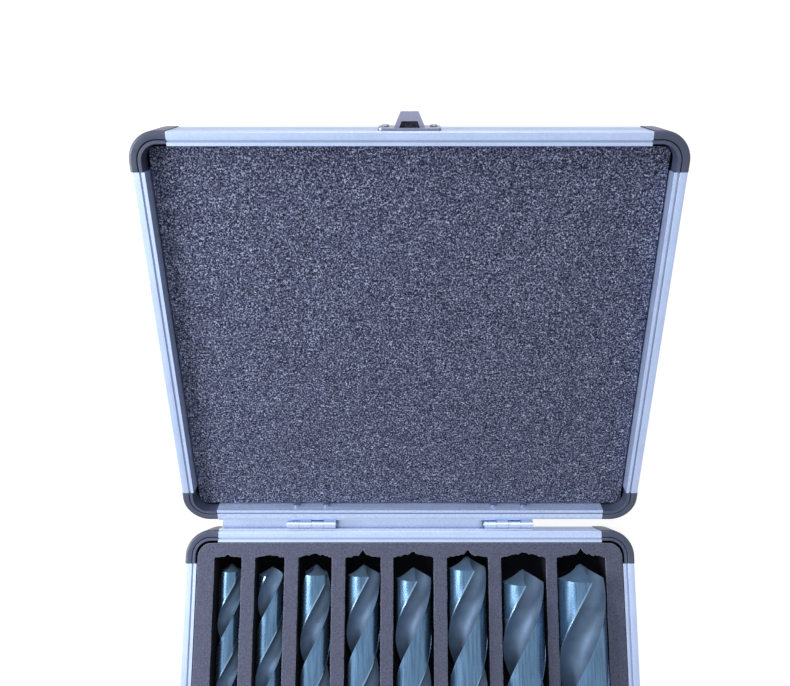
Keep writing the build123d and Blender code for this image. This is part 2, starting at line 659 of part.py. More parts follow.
with BuildPart() as latch_claw_pins:
    pivot = (CLAW_Y, CLAW_HEIGHT)
    shank_length = CLAW_ARM_OUTSIDE + KNUCKLE_GAP - LEVER_WALL_INSIDE
    with BuildSketch(*both_sides(LEVER_WALL_INSIDE, shank_length)):
        with Locations(pivot):
            Circle(LEVER_PIN_RADIUS)
    extrude(amount=shank_length)
    with BuildSketch(*both_sides(CLAW_ARM_OUTSIDE + KNUCKLE_GAP, CLAW_HEAD_THICKNESS)):
        with Locations(pivot):
            Circle(EYE_RADIUS)
    extrude(amount=CLAW_HEAD_THICKNESS)
save(latch_claw_pins.part, "latch_claw_pins")

# the claw is drawn hooked over the catch's bridge, then swung out to rest on the lever's cover
with BuildPart() as latch_claw:
    face_out = BRIDGE_OUT + CLAW_BRIDGE_GAP + LATCH_SHEET / 2
    head_height = CLAW_TOP + LATCH_SHEET / 2
    nose_out = (LATCH_SHEET + BRIDGE_VOID) / 2
    with BuildSketch(side_plane(-CLAW_ARM_OUTSIDE)):
        with BuildLine():
            Polyline(
                pivot,
                (out_front(face_out), CLAW_HEIGHT + CLAW_KNEE),
                (out_front(face_out), head_height),
                (out_front(nose_out), head_height),
                (out_front(nose_out), CLAW_TOP - CLAW_GAP - CLAW_NOSE_REACH),
            )
        trace(line_width=LATCH_SHEET)
    extrude(amount=2 * CLAW_ARM_OUTSIDE)
    with BuildSketch(wall_plane(out_front(0))):
        with Locations((0, CLAW_HEIGHT - EYE_RADIUS)):
            Rectangle(2 * CLAW_ARM_INSIDE, EYE_RADIUS + CLAW_WINDOW, align=(Align.CENTER, Align.MIN))
        for side in (-1, 1):
            with BuildLine():
                Polyline(
                    (side * CLAW_ARM_OUTSIDE, CLAW_HEIGHT + CLAW_SHOULDER),
                    (side * CLAW_NOSE_WIDTH / 2, CLAW_HEIGHT + CLAW_NECK),
                    (side * CLAW_NOSE_WIDTH / 2, head_height + LATCH_SHEET),
                    (side * CLAW_ARM_OUTSIDE, head_height + LATCH_SHEET),
                    close=True,
                )
            make_face()
    extrude(amount=face_out + LATCH_SHEET, mode=Mode.SUBTRACT)
    with BuildSketch(*both_sides(CLAW_ARM_INSIDE, CLAW_ARM_WIDTH)):
        with Locations(pivot):
            Circle(EYE_RADIUS)
    extrude(amount=CLAW_ARM_WIDTH)
    with BuildSketch(*both_sides(CLAW_ARM_INSIDE, CLAW_ARM_WIDTH)):
        with Locations(pivot):
            Circle(LEVER_PIN_RADIUS + PIN_CLEARANCE)
    extrude(amount=CLAW_ARM_WIDTH, mode=Mode.SUBTRACT)
save(latch_claw.part.rotate(Axis((0, *pivot), (1, 0, 0)), CLAW_SWING), "latch_claw")

# the catch is drawn with the case shut: a plate with a pressed bridge that the claw's nose enters


def bridge_section(foot, head, reach):
    """The plan of the catch's bridge, or of the hollow in it, from the plate outwards."""
    Polygon(
        (-foot / 2, out_front(LATCH_SHEET)),
        (foot / 2, out_front(LATCH_SHEET)),
        (head / 2, out_front(reach)),
        (-head / 2, out_front(reach)),
        align=None,
    )


# a web parts the bridge's hollow from the seat above it, which the claw's nose drops into
BRIDGE_SEAT = CLAW_NOSE_REACH + CLAW_SEAT_GAP

with BuildPart() as latch_catch:
    with BuildSketch(wall_plane(out_front(0))):
        with Locations((0, (CATCH_BOTTOM + CATCH_TOP) / 2)):
            RectangleRounded(LATCH_WIDTH, CATCH_TOP - CATCH_BOTTOM, LATCH_CORNER)
        with Locations(*[(x, 2 * PARTING_HEIGHT - LATCH_RIVET_HEIGHT) for x in LATCH_RIVET_X]):
            Circle(RIVET_RADIUS + RIVET_CLEARANCE, mode=Mode.SUBTRACT)
    extrude(amount=LATCH_SHEET)
    with BuildSketch(Plane.XY.offset(BRIDGE_BOTTOM)):
        bridge_section(BRIDGE_FOOT, BRIDGE_HEAD, BRIDGE_OUT)
    extrude(amount=BRIDGE_HEIGHT)
    with BuildSketch(Plane.XY.offset(BRIDGE_BOTTOM)):
        bridge_section(BRIDGE_VOID_FOOT, BRIDGE_VOID_HEAD, BRIDGE_VOID)
    extrude(amount=BRIDGE_HEIGHT - BRIDGE_SEAT - BRIDGE_WEB, mode=Mode.SUBTRACT)
    with BuildSketch(Plane.XY.offset(BRIDGE_BOTTOM + BRIDGE_HEIGHT)):
        bridge_section(BRIDGE_VOID_FOOT, BRIDGE_VOID_HEAD, BRIDGE_VOID)
    extrude(amount=-BRIDGE_SEAT, mode=Mode.SUBTRACT)
save(swung_open(latch_catch.part), "latch_catch")
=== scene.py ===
"""The drill bit case's visual model: finishes for the frame, foam with its cut pockets, and the drills.

Lengths are in metres, in the row's frame: X to the right, Y to the hinges, Z up.
"""

import json
import math

import bmesh
import bpy
from bpy.props import FloatProperty, FloatVectorProperty, PointerProperty
from mathutils import Matrix, Vector, noise
from mathutils.bvhtree import BVHTree

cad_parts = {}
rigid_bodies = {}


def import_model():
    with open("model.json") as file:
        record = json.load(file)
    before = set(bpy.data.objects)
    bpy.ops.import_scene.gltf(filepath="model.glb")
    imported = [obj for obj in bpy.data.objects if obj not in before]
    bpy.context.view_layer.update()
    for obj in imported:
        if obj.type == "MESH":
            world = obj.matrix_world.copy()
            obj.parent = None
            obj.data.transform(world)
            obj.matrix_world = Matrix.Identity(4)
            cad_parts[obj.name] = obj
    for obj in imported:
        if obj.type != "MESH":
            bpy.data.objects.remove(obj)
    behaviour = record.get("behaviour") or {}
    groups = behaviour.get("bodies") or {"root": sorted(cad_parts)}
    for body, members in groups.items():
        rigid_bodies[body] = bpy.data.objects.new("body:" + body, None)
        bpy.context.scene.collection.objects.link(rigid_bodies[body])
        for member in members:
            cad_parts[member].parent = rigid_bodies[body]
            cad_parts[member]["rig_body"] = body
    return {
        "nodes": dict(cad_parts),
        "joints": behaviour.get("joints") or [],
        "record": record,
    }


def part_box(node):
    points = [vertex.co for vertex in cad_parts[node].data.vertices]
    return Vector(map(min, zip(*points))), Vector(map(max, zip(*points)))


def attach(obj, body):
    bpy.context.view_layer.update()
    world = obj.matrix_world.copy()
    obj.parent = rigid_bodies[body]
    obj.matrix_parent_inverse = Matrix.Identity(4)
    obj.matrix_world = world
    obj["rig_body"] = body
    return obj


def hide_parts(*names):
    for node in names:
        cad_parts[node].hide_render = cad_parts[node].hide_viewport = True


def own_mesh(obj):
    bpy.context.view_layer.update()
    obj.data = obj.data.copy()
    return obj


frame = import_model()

bl_info = {
    "name": "Drill bit case",
    "version": (1, 0, 0),
    "blender": (4, 5, 0),
    "location": "View3D > Sidebar > Drill case",
    "description": "Finishes, foam and drills for an aluminium-framed drill bit case",
    "category": "Object",
}

MM = 0.001
GOLDEN_ANGLE = 2.399963
HOLLOW_RAYS = 24
HOLLOW_REACH = 4 * MM
WELD = 0.001 * MM
NEARLY_FLAT = math.radians(0.5)
POINTINESS_FLAT = 0.52
GRAIN_SPREAD = 0.06
RAIL_BROAD_FACE = 300 * MM**2
FITTING_BROAD_FACE = 60 * MM**2
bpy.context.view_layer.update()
NODES = frame["nodes"]
BIT_COUNT = sum(name.startswith("drill_bit") for name in NODES)
LID_JOINT = next(joint for joint in frame["joints"] if joint["name"] == "lid_hinge")

# the transform that swings a lid piece drawn with the case shut to where the lid stands open
PIVOT = Vector(LID_JOINT["pos_m"])
LID_OPEN = (
    Matrix.Translation(PIVOT)
    @ Matrix.Rotation(math.radians(-LID_JOINT["range_deg"][0]), 4, Vector(LID_JOINT["axis"]))
    @ Matrix.Translation(-PIVOT)
)

# ---------------------------------------------------------------- what a user would change


def colour(name, description, value):
    return FloatVectorProperty(
        name=name, description=description, default=value, subtype="COLOR", min=0.0, max=1.0, size=3
    )


def length(name, description, millimetres):
    return FloatProperty(
        name=name, description=description, default=millimetres * MM, unit="LENGTH", precision=5
    )


class CaseColours(bpy.types.PropertyGroup):
    """The colours of the case's finishes"""

    rail: colour("Rails", "Clear anodised aluminium", (0.46, 0.57, 0.84))
    cap: colour("Corner caps", "Moulded plastic", (0.050, 0.064, 0.115))
    panel: colour("Panels", "Smooth sheet in the rails' slots", (0.016, 0.017, 0.021))
    plating: colour("Plating", "Hinges, stop strips and their rivets", (0.50, 0.61, 0.86))
    latch: colour("Latch", "The latch and its catch", (0.30, 0.315, 0.45))
    # painted shade: the open cells near black for the shade inside them
    sponge_pit_shade: colour("Sponge, cells", "Open cells of the lid's sponge", (0.008, 0.010, 0.024))
    sponge: colour("Sponge, walls", "Cell walls of the lid's sponge", (0.098, 0.112, 0.205))
    sponge_fleck: colour("Sponge, flecks", "Cell walls that catch the light", (0.60, 0.68, 0.90))
    tray: colour("Tray foam", "Skin of the cut foam", (0.107, 0.120, 0.190))
    # painted highlight: the high cells of the skin paler
    tray_fleck_light: colour("Tray foam, flecks", "Fine cells in the cut foam's skin", (0.128, 0.142, 0.215))
    # painted shade: the pocket sides near black for the shade that fills the pockets
    tray_pocket_shade: colour("Tray foam, walls", "Foam inside the cut pockets", (0.007, 0.008, 0.014))
    # partly the paler torn cells of the cut, partly a painted highlight along the cut edges
    torn_and_lit_edge: colour("Tray foam, cut edges", "Torn cells along the cut edges", (0.36, 0.39, 0.50))
    oxide: colour("Oxide in the flutes", "Black oxide left by the temper", (0.112, 0.178, 0.285))
    land: colour("Ground lands", "Oxide on the ground lands", (0.098, 0.189, 0.318))
    # partly steel worn through the oxide, partly a painted highlight along the land edges
    bare_and_highlight: colour("Bare edges", "Steel where the oxide has worn off", (0.28, 0.44, 0.60))


class CaseSizes(bpy.types.PropertyGroup):
    """The sizes that the visual model adds to the frame's"""

    metal_edge: length("Metal edges", "Rounding of the rails' and fittings' edges", 0.12)
    plastic_edge: length("Plastic edges", "Rounding of the caps' edges", 0.3)
    sponge_relief: length("Sponge relief", "Height of the sponge's crumb", 0.35)
    sponge_cell: length("Sponge cell", "Size of the sponge's cells", 0.78)
    tray_edge: length("Tray edge", "Rounding of the cut foam's edges", 0.3)
    tray_wander: length("Cut wander", "How far the cut edges wander", 0.16)
    ragged: length("Ragged ends", "Depth of the tears at the pockets' rear ends", 0.8)
    margin: length("Margin", "Width of the ground margin along each land", 0.8)
    clearance: length("Body clearance", "How far a land lies below its margin", 0.12)


# ---------------------------------------------------------------- shader helpers


def set_inputs(tree, node, inputs):
    """Set a node's sockets; inputs maps a socket to a value or to another node's output."""
    for key, value in inputs.items():
        if isinstance(value, bpy.types.NodeSocket):
            tree.links.new(value, node.inputs[key])
        else:
            node.inputs[key].default_value = value


def shade(tree, kind, inputs=None, **settings):
    """Add a node with its settings and its inputs."""
    node = tree.nodes.new(kind)
    for key, value in settings.items():
        setattr(node, key, value)
    set_inputs(tree, node, inputs or {})
    return node


def rgb(value):
    """A colour property as the four numbers that a socket takes."""
    return (*value, 1.0)


def blend_colours(tree, factor, first, second):
    """The colour between two others."""
    mixed = {0: factor, 6: first, 7: second}
    return shade(tree, "ShaderNodeMix", mixed, data_type="RGBA").outputs[2]


def ramp(tree, factor, start, end, low=0.0, high=1.0):
    """A value that goes from low to high while the factor goes from start to end."""
    inputs = {"Value": factor, "From Min": start, "From Max": end, "To Min": low, "To Max": high}
    return shade(tree, "ShaderNodeMapRange", inputs).outputs[0]


def arithmetic(tree, operation, first, second):
    """One sum on two values."""
    return shade(tree, "ShaderNodeMath", {0: first, 1: second}, operation=operation).outputs[0]


def unseen_or_seen(tree, unseen, seen):
    """One value for the rays that light the case, and another for those that show the white ground."""
    path = shade(tree, "ShaderNodeLightPath").outputs
    shown = arithmetic(tree, "MAXIMUM", path["Is Camera Ray"], path["Is Glossy Ray"])
    shown = arithmetic(tree, "MAXIMUM", shown, path["Is Transmission Ray"])
    return ramp(tree, shown, 0.0, 1.0, unseen, seen)


def new_group(name, inputs, outputs):
    """An empty shader node group with named sockets, and its two ends."""
    group = bpy.data.node_groups.new(name, "ShaderNodeTree")
    kinds = {float: "NodeSocketFloat", tuple: "NodeSocketVector"}
    for title, value in inputs.items():
        socket = group.interface.new_socket(title, in_out="INPUT", socket_type=kinds[type(value)])
        socket.default_value = value
    for title in outputs:
        group.interface.new_socket(title, in_out="OUTPUT", socket_type="NodeSocketFloat")
    start = group.nodes.new("NodeGroupInput").outputs
    return group, start, group.nodes.new("NodeGroupOutput")


def in_group(group, end, **results):
    """Connect a group's results to its outputs."""
    for title, value in results.items():
        group.links.new(value, end.inputs[title.replace("_", " ")])


def crumb_group():
    """Open foam: a mask for painted shade in the hollows between cell walls, flecks where a wall catches
    the light, and their height.
    """
    inputs = {"Vector": (0.0, 0.0, 0.0), "Cell": 800.0}
    group, start, end = new_group("Foam crumb", inputs, ("Pits", "Flecks", "Height"))
    cells = {"Vector": start["Vector"], "Scale": start["Cell"], "Detail": 2.5, "Roughness": 0.62}
    walls = shade(group, "ShaderNodeTexNoise", cells).outputs[0]
    finer = arithmetic(group, "MULTIPLY", start["Cell"], 1.7)
    holes = {"Vector": start["Vector"], "Scale": finer, "Randomness": 1.0}
    spread = shade(group, "ShaderNodeTexVoronoi", holes, feature="F1").outputs["Distance"]
    lifted = ramp(group, spread, 0.0, 0.9, -0.09, 0.09)
    height = arithmetic(group, "SUBTRACT", walls, lifted)
    # painted shade in the low cells, painted highlight on the high flecks
    pit_shade = ramp(group, height, 0.53, 0.36)
    flecks = ramp(group, height, 0.52, 0.68)
    in_group(group, end, Pits=pit_shade, Flecks=flecks, Height=height)
    return group


def grain_group():
    """Fine surface grain: a spread for the roughness and a height for the bump."""
    inputs = {"Vector": (0.0, 0.0, 0.0), "Scale": 2500.0, "Patch": 40.0}
    group, start, end = new_group("Fine grain", inputs, ("Grain", "Patches"))
    fine = {"Vector": start["Vector"], "Scale": start["Scale"], "Detail": 2.0}
    broad = {"Vector": start["Vector"], "Scale": start["Patch"], "Detail": 3.0}
    grain = shade(group, "ShaderNodeTexNoise", fine).outputs[0]
    patches = shade(group, "ShaderNodeTexNoise", broad).outputs[0]
    in_group(group, end, Grain=grain, Patches=patches)
    return group


def wear_and_shade_group():
    """Wear and painted shade: a mask of the corners that stand out, broken up by noise, and one of shade
    painted in hollows.
    """
    inputs = {"Vector": (0.0, 0.0, 0.0), "Pointiness": 0.5, "Reach": 0.1, "Scale": 900.0}
    inputs |= {"Hollow": 0.0, "Shelter": 0.5}
    group, start, end = new_group("Edge wear", inputs, ("Mask", "Dirt"))
    scuffs = {"Vector": start["Vector"], "Scale": start["Scale"], "Detail": 3.0}
    noise_value = shade(group, "ShaderNodeTexNoise", scuffs).outputs[0]
    broken = ramp(group, noise_value, 0.35, 0.65, 0.2, 1.0)
    top = arithmetic(group, "ADD", start["Reach"], POINTINESS_FLAT)
    corner = ramp(group, start["Pointiness"], POINTINESS_FLAT, top)
    # painted shade: darker where the body's own parts close off the space round a face
    deepest = arithmetic(group, "ADD", start["Shelter"], 0.25)
    deep = ramp(group, start["Hollow"], start["Shelter"], deepest)
    patchy = ramp(group, noise_value, 0.3, 0.7, 0.85, 1.0)
    painted_shade = arithmetic(group, "MULTIPLY", deep, patchy)
    in_group(group, end, Mask=arithmetic(group, "MULTIPLY", corner, broken), Dirt=painted_shade)
    return group


def grouped(tree, name, maker, inputs):
    """Place a shared effect in a material; the first material that uses it has it built."""
    group = bpy.data.node_groups.get(name) or maker()
    return shade(tree, "ShaderNodeGroup", inputs, node_tree=group).outputs


def blank_material(name):
    """A material with nothing but a Principled shader, and the coordinates of the piece."""
    material = bpy.data.materials.new(name)
    material.use_nodes = True
    tree = material.node_tree
    tree.nodes.clear()
    shader = tree.nodes.new("ShaderNodeBsdfPrincipled")
    surface = tree.nodes.new("ShaderNodeOutputMaterial")
    tree.links.new(shader.outputs[0], surface.inputs[0])
    place = tree.nodes.new("ShaderNodeTexCoord").outputs["Object"]
    return material, tree, shader, place


def bumped(tree, height, distance, strength=1.0):
    """A normal from a height."""
    inputs = {"Height": height, "Distance": distance, "Strength": strength}
    return shade(tree, "ShaderNodeBump", inputs).outputs[0]


# ---------------------------------------------------------------- finishes


def metal_finish(name, tint, *, roughness, grain_size, metallic, shelter, shade_tone):
    """Satin metal: faint patches, fine grain, brighter worn corners and painted shade in the hollows."""
    material, tree, shader, place = blank_material(name)
    inputs = {"Vector": place, "Scale": grain_size, "Patch": 60.0}
    grain = grouped(tree, "Fine grain", grain_group, inputs)
    pointiness = shade(tree, "ShaderNodeNewGeometry").outputs["Pointiness"]
    hollow = shade(tree, "ShaderNodeAttribute", attribute_name="hollow").outputs["Fac"]
    wear = {"Vector": place, "Pointiness": pointiness, "Hollow": hollow, "Shelter": shelter}
    worn = grouped(tree, "Edge wear", wear_and_shade_group, wear)
    patchy = ramp(tree, grain["Patches"], 0.3, 0.7, 0.93, 1.04)
    toned = shade(tree, "ShaderNodeVectorMath", {0: tint, 3: patchy}, operation="SCALE").outputs[0]
    bright = tuple(min(1.0, 1.25 * channel) for channel in tint)
    base = blend_colours(tree, worn["Mask"], toned, rgb(bright))
    # painted shade: a darker tint for the hollows, where the space round a face is closed off
    painted_shade = tuple(shade_tone * channel for channel in tint)
    rough = ramp(tree, grain["Grain"], 0.3, 0.7, roughness - GRAIN_SPREAD, roughness + GRAIN_SPREAD)
    base = blend_colours(tree, worn["Dirt"], base, rgb(painted_shade))
    set_inputs(
        tree,
        shader,
        {
            "Base Color": base,
            "Metallic": metallic,
            "Roughness": rough,
            "Normal": bumped(tree, grain["Grain"], 0.00002, 0.4),
        },
    )
    return material


def plastic_finish(name, tint, *, roughness, grain_size, grain_depth, specular=0.5):
    """Moulded plastic: fine spark-eroded grain, faint patches, paler scuffed corners and painted shade
    in the hollows.
    """
    material, tree, shader, place = blank_material(name)
    inputs = {"Vector": place, "Scale": grain_size, "Patch": 45.0}
    grain = grouped(tree, "Fine grain", grain_group, inputs)
    pointiness = shade(tree, "ShaderNodeNewGeometry").outputs["Pointiness"]
    hollow = shade(tree, "ShaderNodeAttribute", attribute_name="hollow").outputs["Fac"]
    wear = {"Vector": place, "Pointiness": pointiness, "Hollow": hollow, "Reach": 0.16, "Shelter": 0.62}
    worn = grouped(tree, "Edge wear", wear_and_shade_group, wear)
    patchy = ramp(tree, grain["Patches"], 0.3, 0.7, 0.85, 1.15)
    toned = shade(tree, "ShaderNodeVectorMath", {0: tint, 3: patchy}, operation="SCALE").outputs[0]
    pale = tuple(2.2 * channel for channel in tint)
    rubbed = blend_colours(tree, worn["Mask"], toned, rgb(pale))
    # painted shade: a nearly black tint and a weaker specular in the hollows, where the space round a
    # face is closed off
    shade_tint = tuple(0.1 * channel for channel in tint)
    shine = ramp(tree, worn["Dirt"], 0.0, 1.0, specular, 0.05)
    rough = ramp(tree, grain["Grain"], 0.3, 0.7, roughness - GRAIN_SPREAD, roughness + GRAIN_SPREAD)
    set_inputs(
        tree,
        shader,
        {
            "Base Color": blend_colours(tree, worn["Dirt"], rubbed, rgb(shade_tint)),
            "Roughness": rough,
            "Normal": bumped(tree, grain["Grain"], grain_depth, 0.6),
            "Specular IOR Level": shine,
        },
    )
    return material


def sponge_finish(colours, sizes):
    """Coarse open-cell sponge: painted shade in its open cells, grey cell walls and pale flecks of
    painted highlight.
    """
    material, tree, shader, place = blank_material("lid_sponge")
    cell = 1.0 / sizes.sponge_cell
    crumb = grouped(tree, "Foam crumb", crumb_group, {"Vector": place, "Cell": cell})
    broad = {"Vector": place, "Scale": 260.0, "Detail": 3.0}
    clumps = shade(tree, "ShaderNodeTexNoise", broad).outputs[0]
    walls = blend_colours(tree, crumb["Pits"], rgb(colours.sponge), rgb(colours.sponge_pit_shade))
    flecks = arithmetic(tree, "MULTIPLY", crumb["Flecks"], ramp(tree, clumps, 0.35, 0.65, 0.45, 1.0))
    base = blend_colours(tree, flecks, walls, rgb(colours.sponge_fleck))
    normal = bumped(tree, crumb["Height"], 1.6 * sizes.sponge_cell, 0.7)
    set_inputs(
        tree,
        shader,
        {"Base Color": base, "Roughness": 0.95, "Normal": normal, "Specular IOR Level": 0.15},
    )
    return material


def tray_finish(name, colours, depth):
    """Fine closed-cell foam: a close speckle of painted shade and highlight, torn pale cells where a
    blade has cut the edge, lit as a painted highlight, and painted shade in the pockets.
    """
    material, tree, shader, place = blank_material(name)
    crumb = grouped(tree, "Foam crumb", crumb_group, {"Vector": place, "Cell": 1900.0})
    # painted shade in the foam's low cells, painted highlight on its high flecks
    shade_tint = tuple(0.62 * channel for channel in colours.tray)
    skin = blend_colours(tree, crumb["Pits"], rgb(colours.tray), rgb(shade_tint))
    skin = blend_colours(tree, crumb["Flecks"], skin, rgb(colours.tray_fleck_light))
    cut = shade(tree, "ShaderNodeAttribute", attribute_name="cut").outputs["Fac"]
    # partly the paler torn cells of the cut, partly a painted highlight along the cut edges
    torn = arithmetic(tree, "MULTIPLY", cut, ramp(tree, crumb["Height"], 0.4, 0.6, 0.25, 1.0))
    # painted shade: the pocket sides and the sheet under the tray near black
    wall = shade(tree, "ShaderNodeAttribute", attribute_name="wall").outputs["Fac"]
    skin = blend_colours(tree, wall, skin, rgb(colours.tray_pocket_shade))
    base = blend_colours(tree, torn, skin, rgb(colours.torn_and_lit_edge))
    normal = bumped(tree, crumb["Height"], depth, 0.7)
    set_inputs(
        tree,
        shader,
        {"Base Color": base, "Roughness": 0.9, "Normal": normal, "Specular IOR Level": 0.2},
    )
    return material


def drill_finish(colours):
    """Oxide-blacked steel: blacker flutes, ground lands, and paler steel along the margins and edges,
    partly worn through the oxide and partly a painted highlight.
    """
    material, tree, shader, place = blank_material("oxided_drill")
    grain = grouped(tree, "Fine grain", grain_group, {"Vector": place, "Scale": 1600.0, "Patch": 120.0})
    pointiness = shade(tree, "ShaderNodeNewGeometry").outputs["Pointiness"]
    sharper = arithmetic(tree, "SUBTRACT", pointiness, 0.05)
    wear = {"Vector": place, "Pointiness": sharper, "Reach": 0.08, "Scale": 1200.0}
    worn = grouped(tree, "Edge wear", wear_and_shade_group, wear)["Mask"]
    land = shade(tree, "ShaderNodeAttribute", attribute_name="land").outputs["Fac"]
    margin = shade(tree, "ShaderNodeAttribute", attribute_name="margin").outputs["Fac"]
    drawn = shade(tree, "ShaderNodeVectorMath", {0: place, 1: (1.0, 0.05, 1.0)}, operation="MULTIPLY")
    strokes = {"Vector": drawn.outputs[0], "Scale": 900.0, "Detail": 3.0, "Roughness": 0.7}
    streaks = ramp(tree, shade(tree, "ShaderNodeTexNoise", strokes).outputs[0], 0.35, 0.65, 0.72, 1.3)
    lined = shade(tree, "ShaderNodeVectorMath", {0: colours.land, 3: streaks}, operation="SCALE")
    clouded = ramp(tree, grain["Patches"], 0.3, 0.7, 0.8, 1.2)
    stained = shade(tree, "ShaderNodeVectorMath", {0: colours.oxide, 3: clouded}, operation="SCALE")
    ground = blend_colours(tree, land, stained.outputs[0], lined.outputs[0])
    # paler margins and corners: partly worn steel, partly a painted highlight along the land edges
    rubbed = arithmetic(tree, "MULTIPLY", margin, ramp(tree, grain["Patches"], 0.3, 0.7, 0.5, 1.0))
    bare_and_highlight = arithmetic(tree, "MAXIMUM", rubbed, worn)
    smooth = ramp(tree, land, 0.0, 1.0, 0.6, 0.27)
    spread = ramp(tree, grain["Grain"], 0.3, 0.7, -0.03, 0.03)
    set_inputs(
        tree,
        shader,
        {
            "Base Color": blend_colours(tree, bare_and_highlight, ground, rgb(colours.bare_and_highlight)),
            "Metallic": ramp(tree, land, 0.0, 1.0, 0.5, 0.85),
            "Roughness": arithmetic(tree, "ADD", smooth, spread),
            "Normal": bumped(tree, grain["Grain"], 0.000003, 0.1),
        },
    )
    return material


# ---------------------------------------------------------------- mesh helpers


def as_piece(mesh, name, body, material, replaced, smooth_below=30.0):
    """Turn a finished bmesh into a piece that rides on a body and stands for frame nodes."""
    data = bpy.data.meshes.new(name)
    mesh.to_mesh(data)
    mesh.free()
    data.shade_smooth()
    data.set_sharp_from_angle(angle=math.radians(smooth_below))
    data.materials.append(material)
    piece = bpy.data.objects.new(name, data)
    bpy.context.scene.collection.objects.link(piece)
    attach(piece, body)
    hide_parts(*replaced)
    return piece


def body_tree(body):
    """One search tree of every frame node that moves with a body."""
    corners, faces = [], []
    for node in NODES.values():
        if node["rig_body"] == body:
            start = len(corners)
            corners += [vertex.co for vertex in node.data.vertices]
            faces += [[start + corner for corner in face.vertices] for face in node.data.polygons]
    return BVHTree.FromPolygons(corners, faces)


BODY_TREES = {}


def mark_hollows(mesh, body, reach, widest):
    """Give each face, up to a widest area, the share of its space that its body's nodes close off."""
    if body not in BODY_TREES:
        BODY_TREES[body] = body_tree(body)
    nearby = BODY_TREES[body]
    # the finishes darken each face by this share, as painted shade
    hollow = mesh.faces.layers.float.new("hollow")
    for face in mesh.faces:
        if face.calc_area() > widest:
            continue
        turn = Vector((0, 0, 1)).rotation_difference(face.normal)
        start = face.calc_center_median() + 0.01 * MM * face.normal
        closed = 0
        for step in range(HOLLOW_RAYS):
            rise = (step + 0.5) / HOLLOW_RAYS
            around = GOLDEN_ANGLE * step
            flat = math.sqrt(1 - rise**2)
            ray = Vector((flat * math.cos(around), flat * math.sin(around), rise))
            closed += nearby.ray_cast(start, turn @ ray, reach)[0] is not None
        face[hollow] = closed / HOLLOW_RAYS


def dressed(node, material, edge, widest=math.inf):
    """A frame node's own shape with its vertices merged and its edges rounded."""
    source = NODES[node]
    mesh = bmesh.new()
    mesh.from_mesh(source.data)
    bmesh.ops.remove_doubles(mesh, verts=mesh.verts, dist=WELD)
    bmesh.ops.dissolve_limit(mesh, angle_limit=NEARLY_FLAT, verts=mesh.verts, edges=mesh.edges)
    mark_hollows(mesh, source["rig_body"], HOLLOW_REACH, widest)
    piece = as_piece(mesh, f"{node}_finished", source["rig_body"], material, (node,))
    rounding = piece.modifiers.new("Rounded edges", "BEVEL")
    rounding.width = edge
    rounding.segments = 2
    rounding.limit_method = "ANGLE"
    rounding.angle_limit = math.radians(30.0)
    rounding.harden_normals = True
    return piece


def dress_all(names, material, edge, widest=math.inf):
    """Finish every frame node whose name starts with one of these names."""
    for node in sorted(NODES):
        if node.startswith(tuple(names)):
            dressed(node, material, edge, widest)


def uneven_grid(columns, rows):
    """A flat grid whose lines lie at these places, in metres."""
    mesh = bmesh.new()
    bmesh.ops.create_grid(mesh, x_segments=len(columns) - 1, y_segments=len(rows) - 1, size=0.5)
    for vertex in mesh.verts:
        column = round((vertex.co.x + 0.5) * (len(columns) - 1))
        row = round((vertex.co.y + 0.5) * (len(rows) - 1))
        vertex.co.x, vertex.co.y = columns[column], rows[row]
    return mesh


def stations(breaks, step):
    """Places from the first break to the last, no further apart than a step, with each break in them."""
    places = [breaks[0]]
    for start, end in zip(breaks, breaks[1:]):
        count = max(1, math.ceil((end - start) / step))
        places += [start + (end - start) * index / count for index in range(1, count + 1)]
    return places


def round_corners(mesh, half_width, half_depth, radius):
    """Draw in the corners of a grid round the origin to quarter circles."""
    for vertex in mesh.verts:
        across = (abs(vertex.co.x) - half_width + radius) / radius
        along = (abs(vertex.co.y) - half_depth + radius) / radius
        if across > 0 and along > 0:
            x = half_width - radius + radius * across * math.sqrt(1 - along**2 / 2)
            y = half_depth - radius + radius * along * math.sqrt(1 - across**2 / 2)
            vertex.co.x = math.copysign(x, vertex.co.x)
            vertex.co.y = math.copysign(y, vertex.co.y)


def thicken(mesh, depth):
    """Give a flat sheet a thickness downwards and point its faces outwards."""
    sheet = bmesh.ops.extrude_face_region(mesh, geom=mesh.faces[:])
    moved = [item for item in sheet["geom"] if isinstance(item, bmesh.types.BMVert)]
    bmesh.ops.translate(mesh, verts=moved, vec=(0, 0, -depth))
    bmesh.ops.recalc_face_normals(mesh, faces=mesh.faces)


def closed_box(node):
    """A lid node's lowest and highest corners with the case shut."""
    shut = LID_OPEN.inverted()
    corners = [shut @ vertex.co for vertex in NODES[node].data.vertices]
    low = Vector([min(corner[axis] for corner in corners) for axis in range(3)])
    high = Vector([max(corner[axis] for corner in corners) for axis in range(3)])
    return low, high


# ---------------------------------------------------------------- the case


class CASE_OT_rails(bpy.types.Operator):
    """Finish the eight edge rails in satin anodised aluminium"""

    bl_idname = "drillcase.rails"
    bl_label = "Edge rails"

    def execute(self, context):
        scene = context.scene
        anodised = metal_finish(
            "satin_anodised",
            scene.case_colours.rail,
            roughness=0.42,
            grain_size=2600.0,
            metallic=0.6,
            shelter=0.42,
            # how light the painted shade in the hollows stays
            shade_tone=0.55,
        )
        names = ("base_rail", "lid_rail")
        dress_all(names, anodised, scene.case_sizes.metal_edge, RAIL_BROAD_FACE)
        return {"FINISHED"}


